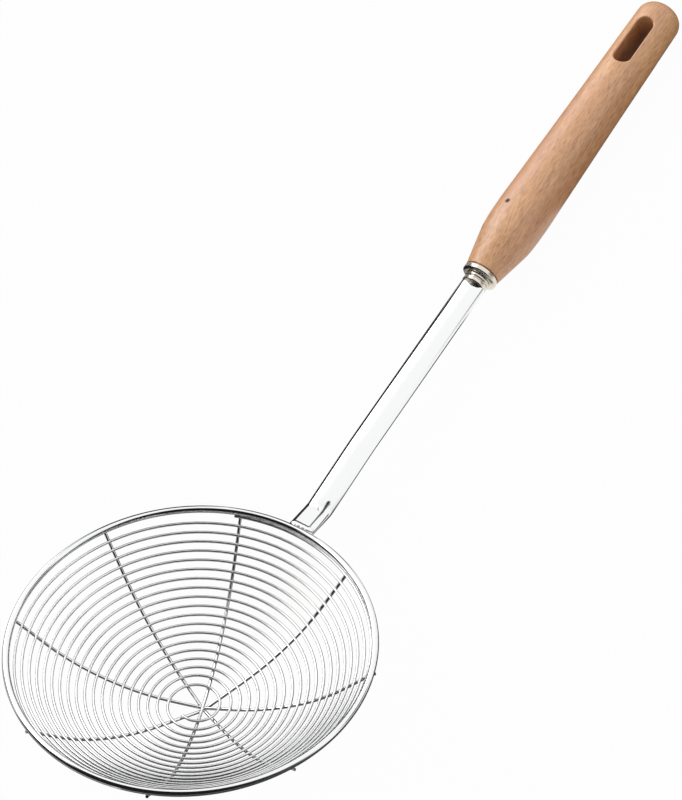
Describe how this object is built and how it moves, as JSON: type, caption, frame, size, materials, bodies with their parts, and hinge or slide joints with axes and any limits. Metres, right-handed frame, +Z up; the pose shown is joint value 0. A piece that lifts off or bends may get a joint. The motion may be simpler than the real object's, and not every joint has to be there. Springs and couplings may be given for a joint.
{
  "type": "spider skimmer",
  "caption": "Spider skimmer: a shallow round basket of spiral wire on crossed wires, a flat tube shaft and a turned wooden handle with a hanging slot.",
  "frame": {"origin": "centre of the part's outline, on the level surface that the bowl and the handle lie on", "axes": "+Y from the basket towards the end of the handle, +Z up out of the bowl, +X to the right when the handle points away"},
  "size_m": [0.15, 0.44, 0.0659],
  "materials": {
    "polished_steel": "mirror-polished stainless steel",
    "nickel_plate": "polished nickel plate with a warm tint",
    "beech": "sanded and oiled, with fine dark flecks along the grain"
  },
  "bodies": {
    "root": {"rim_ring": "polished_steel", "spiral_wire": "polished_steel", "cross_wire_1": "polished_steel", "cross_wire_2": "polished_steel", "cross_wire_3": "polished_steel", "cross_wire_4": "polished_steel", "shaft_tube": "polished_steel", "tang_rod": "polished_steel", "neck_collar": "nickel_plate", "ferrule": "nickel_plate", "wood_handle": "beech"}
  },
  "joints": []
}
